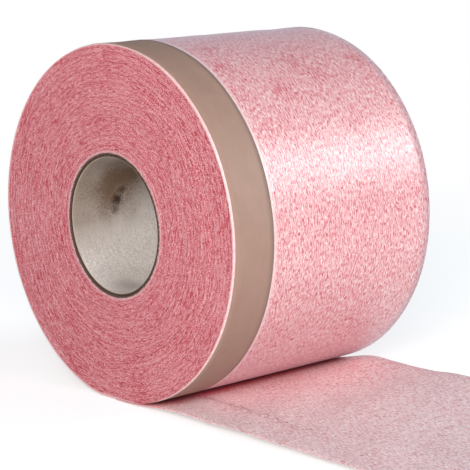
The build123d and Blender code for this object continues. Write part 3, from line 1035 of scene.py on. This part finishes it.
# The dark browns are partly board soiled by the saw and partly painted shade, as the ends lie in
# shadow.
browns = add_node(tree, "ShaderNodeValToRGB", {"Fac": grain},
                  stops=[(0.3, linear("35231a")), (0.6, linear("4e372a")),
                         (0.8, linear("78604f"))]).outputs["Color"]
flat = add_node(tree, "ShaderNodeVectorMath", {0: place, 1: (1, 0, 1)}, operation="MULTIPLY")
radius = add_node(tree, "ShaderNodeVectorMath", {0: flat.outputs["Vector"]},
                  operation="LENGTH").outputs["Value"]
worn = add_node(tree, "ShaderNodeMath", {0: grain, 1: LIP_WEAR, 2: radius},
                operation="MULTIPLY_ADD").outputs["Value"]
lip = add_node(tree, "ShaderNodeMapRange",
               {"Value": worn, "From Min": LIP_END, "From Max": LIP_FULL, "To Max": 0.9})
browns = add_node(tree, "ShaderNodeMix",
                  {0: lip.outputs["Result"], MIX_A: browns, MIX_B: linear("b7a592")},
                  data_type="RGBA").outputs[MIX_RESULT]
tree.links.new(browns, shader.inputs["Base Color"])
relief = add_node(tree, "ShaderNodeBump", {"Height": grain, "Strength": 0.5,
                                           "Distance": 0.2 * MM})
tree.links.new(relief.outputs["Normal"], shader.inputs["Normal"])
shader.inputs["Roughness"].default_value = 0.9
print(cut_board.name, "has", len(tree.nodes), "nodes")

# %% Each piece gets its face material and its cut material
for piece, finishes in ((roll, (fleece, cut_edge)), (loose_end, (inner_fleece, cut_edge)),
                        (liner, (paper,)), (core, (board, cut_board))):
    for finish in finishes:
        piece.data.materials.append(finish)
print("materials", [material.name for material in bpy.data.materials])

# %% [markdown]
# ## Floor, light and background
# The roll stands on white paper, as in a product picture. More light on the floor would make it
# white, but would bleach the roll too. So, to the camera and to reflections, the floor is matte
# with a little glow of its own near the roll, which keeps the shadow, and plain white further off.
# To all other light it is matte. Three soft lamps light the roll: a window on the right, whose
# reflection is the pale band along the roll, a warm fill beside the camera, and a low one past the
# loose end's tip, which reaches into the fold.

# %% Floor
FLOOR_REACH = 4.0               # m from the middle to each side
floor_mesh = bpy.data.meshes.new("floor")
corners = [(FLOOR_REACH * a, FLOOR_REACH * b) for a, b in ((-1, -1), (1, -1), (1, 1), (-1, 1))]
floor_mesh.from_pydata([(a, b, floor_z * MM) for a, b in corners], [], [(0, 1, 2, 3)])
floor = bpy.data.objects.new("floor", floor_mesh)
bpy.context.scene.collection.objects.link(floor)
print("floor at z =", round(floor_z, 2), "mm")

# %% Floor material
WHITE = (1, 1, 1, 1)
MATTE_GREY = (0.8, 0.8, 0.8, 1)     # linear, as white paper reflects
NEAR_ROLL, FAR_OFF = 0.35, 0.8      # m from the roll, between which the floor turns plain white
sweep, tree, shader = new_material("white_paper_sweep")
tree.nodes.remove(shader)
rays = add_node(tree, "ShaderNodeLightPath")
place = add_node(tree, "ShaderNodeTexCoord").outputs["Object"]
matte = add_node(tree, "ShaderNodeBsdfDiffuse", {"Color": MATTE_GREY})
own_glow = add_node(tree, "ShaderNodeEmission", {"Color": WHITE, "Strength": 0.5})
lit = add_node(tree, "ShaderNodeAddShader", {0: matte.outputs["BSDF"],
                                             1: own_glow.outputs["Emission"]})
white = add_node(tree, "ShaderNodeEmission", {"Color": WHITE, "Strength": 1.0})
distance = add_node(tree, "ShaderNodeVectorMath", {0: place}, operation="LENGTH")
away = add_node(tree, "ShaderNodeMapRange",
                {"Value": distance.outputs["Value"], "From Min": NEAR_ROLL,
                 "From Max": FAR_OFF})
shown = add_node(tree, "ShaderNodeMixShader",
                 {0: away.outputs["Result"], 1: lit.outputs["Shader"],
                  2: white.outputs["Emission"]})
seen = add_node(tree, "ShaderNodeMath", {0: rays.outputs["Is Camera Ray"],
                                         1: rays.outputs["Is Glossy Ray"]}, operation="MAXIMUM")
choice = add_node(tree, "ShaderNodeMixShader",
                  {0: seen.outputs["Value"], 1: matte.outputs["BSDF"], 2: shown.outputs["Shader"]})
tree.links.new(choice.outputs["Shader"], tree.nodes["Material Output"].inputs["Surface"])
floor_mesh.materials.append(sweep)
print("floor turns white from", NEAR_ROLL, "to", FAR_OFF, "m")

# %% World: a cool grey sky for the light, plain white for the camera
SKY_LEVEL = (0.46, 0.48, 0.52, 1)       # linear, at the horizon
SKY_TOP = (0.22, 0.24, 0.27, 1)
world = bpy.data.worlds.new("studio")
bpy.context.scene.world = world
world.use_nodes = True
tree = world.node_tree
direction = add_node(tree, "ShaderNodeTexCoord").outputs["Generated"]
height = add_node(tree, "ShaderNodeSeparateXYZ", {"Vector": direction}).outputs["Z"]
sky = add_node(tree, "ShaderNodeValToRGB", {"Fac": height},
               stops=[(0.0, SKY_LEVEL), (0.9, SKY_TOP)])
background = tree.nodes["Background"]
tree.links.new(sky.outputs["Color"], background.inputs["Color"])
background.inputs["Strength"].default_value = 1.0
white = add_node(tree, "ShaderNodeBackground", {"Color": WHITE, "Strength": 1.0})
rays = add_node(tree, "ShaderNodeLightPath")
choice = add_node(tree, "ShaderNodeMixShader", {"Fac": rays.outputs["Is Camera Ray"]})
tree.links.new(background.outputs["Background"], choice.inputs[1])
tree.links.new(white.outputs["Background"], choice.inputs[2])
tree.links.new(choice.outputs["Shader"], tree.nodes["World Output"].inputs["Surface"])
print("world has", len(tree.nodes), "nodes")


# %% Lamps
def softbox(name, azimuth, elevation, distance, width, height, power, colour):
    """A rectangular lamp that faces the roll. Its azimuth counts from +X towards +Y and its
    elevation from the floor, in degrees; distance and sizes are in metres, power is in watts."""
    a, e = np.radians(azimuth), np.radians(elevation)
    direction = Vector((np.cos(a) * np.cos(e), np.sin(a) * np.cos(e), np.sin(e)))
    lamp = bpy.data.lights.new(name, "AREA")
    lamp.shape = "RECTANGLE"
    lamp.size, lamp.size_y = width, height
    lamp.energy = power
    lamp.color = linear(colour)[:3]
    holder = bpy.data.objects.new(name, lamp)
    bpy.context.scene.collection.objects.link(holder)
    turn = direction.to_track_quat("Z", "Y").to_matrix().to_4x4()
    holder.matrix_world = Matrix.Translation(direction * distance) @ turn
    print(name, power, "W at", distance, "m")


softbox("window_right", 50, 22, 1.4, 0.7, 0.45, 8.8, "e2f2f4")
softbox("fill_near_camera", -52, 20, 1.6, 0.8, 0.6, 20.0, "fffaf6")
softbox("low_front", -12, 4, 1.5, 0.9, 0.2, 4.2, "fffaf6")
